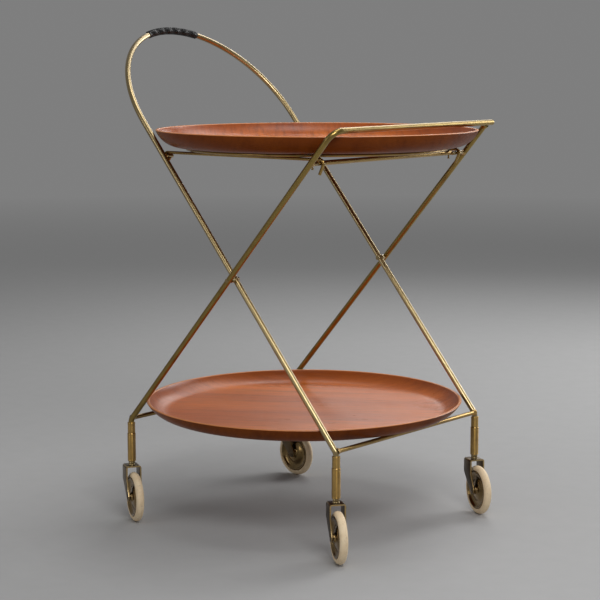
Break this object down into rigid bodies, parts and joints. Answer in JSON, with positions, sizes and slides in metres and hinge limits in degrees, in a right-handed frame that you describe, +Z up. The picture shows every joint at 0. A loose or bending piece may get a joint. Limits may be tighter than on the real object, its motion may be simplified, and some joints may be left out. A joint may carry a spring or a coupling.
{
  "type": "folding serving trolley",
  "caption": "Folding serving trolley: crossed frames of bent brass rod with an arched push handle, loose round wooden trays on a wire ring and lower bars, and swivelling rubber-tyred castors.",
  "frame": {"origin": "on the floor, under the middle of the overall length and width", "axes": "+X toward the rail end and away from the push handle, +Y to the far side in the picture, +Z up"},
  "size_m": [0.5394, 0.476, 0.7364],
  "materials": {
    "brass": "aged satin",
    "bronze": "dark patina",
    "teak": "satin oiled veneer",
    "tyre": "aged cream rubber",
    "grip": "gloss wound cord"
  },
  "bodies": {
    "arch_frame": {"arch_frame": "brass", "grip_sleeve": "grip", "grip_wrap": "grip", "lower_bar_front": "brass", "pivot_pin_near": "brass", "pivot_pin_far": "brass", "pivot_spacer_near": "brass", "pivot_spacer_far": "brass", "arch_stub_near": "brass", "arch_stub_far": "brass", "leg_sleeve_front_near": "brass", "leg_sleeve_front_far": "brass", "leg_tube_front_near": "brass", "leg_tube_front_far": "brass"},
    "rail_frame": {"rail_frame": "brass", "lower_bar_rear": "brass", "rail_stub_near": "brass", "rail_stub_far": "brass", "leg_sleeve_rear_near": "brass", "leg_sleeve_rear_far": "brass", "leg_tube_rear_near": "brass", "leg_tube_rear_far": "brass"},
    "tray_carrier": {"tray_ring": "brass", "cross_tube": "brass", "stay_near": "brass", "stay_far": "brass", "split_pin_near": "brass", "split_pin_far": "brass"},
    "upper_tray": {"upper_tray": "teak"},
    "lower_tray": {"lower_tray": "teak"},
    "castor_front_near": {"castor_stem_front_near": "brass", "castor_collar_front_near": "brass", "castor_fork_front_near": "bronze", "castor_axle_front_near": "bronze"},
    "wheel_front_near": {"wheel_hub_front_near": "brass", "wheel_tyre_front_near": "tyre"},
    "castor_front_far": {"castor_stem_front_far": "brass", "castor_collar_front_far": "brass", "castor_fork_front_far": "bronze", "castor_axle_front_far": "bronze"},
    "wheel_front_far": {"wheel_hub_front_far": "brass", "wheel_tyre_front_far": "tyre"},
    "castor_rear_near": {"castor_stem_rear_near": "brass", "castor_collar_rear_near": "brass", "castor_fork_rear_near": "bronze", "castor_axle_rear_near": "bronze"},
    "wheel_rear_near": {"wheel_hub_rear_near": "brass", "wheel_tyre_rear_near": "tyre"},
    "castor_rear_far": {"castor_stem_rear_far": "brass", "castor_collar_rear_far": "brass", "castor_fork_rear_far": "bronze", "castor_axle_rear_far": "bronze"},
    "wheel_rear_far": {"wheel_hub_rear_far": "brass", "wheel_tyre_rear_far": "tyre"}
  },
  "joints": [
    {"name": "fold", "type": "hinge", "parent": "arch_frame", "child": "rail_frame", "pos_m": [0.02029, 0, 0.37804], "axis": [0, -1, 0], "range_deg": [0, 0.3]},
    {"name": "carrier_hinge", "type": "hinge", "parent": "arch_frame", "child": "tray_carrier", "pos_m": [-0.11665, 0, 0.54794], "axis": [0, -1, 0], "range_deg": [0, 0.2]},
    {"name": "upper_tray_turn", "type": "hinge", "parent": "tray_carrier", "child": "upper_tray", "pos_m": [0.03168, 0, 0.56019], "axis": [0, 0, 1], "continuous": true},
    {"name": "lower_tray_turn", "type": "hinge", "parent": "arch_frame", "child": "lower_tray", "pos_m": [0.00685, 0, 0.15739], "axis": [0, 0, 1], "continuous": true},
    {"name": "swivel_front_near", "type": "hinge", "parent": "arch_frame", "child": "castor_front_near", "pos_m": [0.20246, -0.1719, 0.0885], "axis": [0, 0, 1], "continuous": true},
    {"name": "roll_front_near", "type": "hinge", "parent": "castor_front_near", "child": "wheel_front_near", "pos_m": [0.21567, -0.1826, 0.037], "axis": [0.6293, 0.7771, 0], "continuous": true},
    {"name": "swivel_front_far", "type": "hinge", "parent": "arch_frame", "child": "castor_front_far", "pos_m": [0.20246, 0.1719, 0.0885], "axis": [0, 0, 1], "continuous": true},
    {"name": "roll_front_far", "type": "hinge", "parent": "castor_front_far", "child": "wheel_front_far", "pos_m": [0.21703, 0.16315, 0.037], "axis": [0.515, 0.8572, 0], "continuous": true},
    {"name": "swivel_rear_near", "type": "hinge", "parent": "rail_frame", "child": "castor_rear_near", "pos_m": [-0.17617, -0.1863, 0.0885], "axis": [0, 0, 1], "continuous": true},
    {"name": "roll_rear_near", "type": "hinge", "parent": "castor_rear_near", "child": "wheel_rear_near", "pos_m": [-0.16167, -0.19518, 0.037], "axis": [0.5225, 0.8526, 0], "continuous": true},
    {"name": "swivel_rear_far", "type": "hinge", "parent": "rail_frame", "child": "castor_rear_far", "pos_m": [-0.17617, 0.1863, 0.0885], "axis": [0, 0, 1], "continuous": true},
    {"name": "roll_rear_far", "type": "hinge", "parent": "castor_rear_far", "child": "wheel_rear_far", "pos_m": [-0.15929, 0.18423, 0.037], "axis": [0.1219, 0.9925, 0], "continuous": true}
  ],
  "couplings": [
    {"joint": "carrier_hinge", "follows": "fold", "ratio": 0.51888}
  ]
}
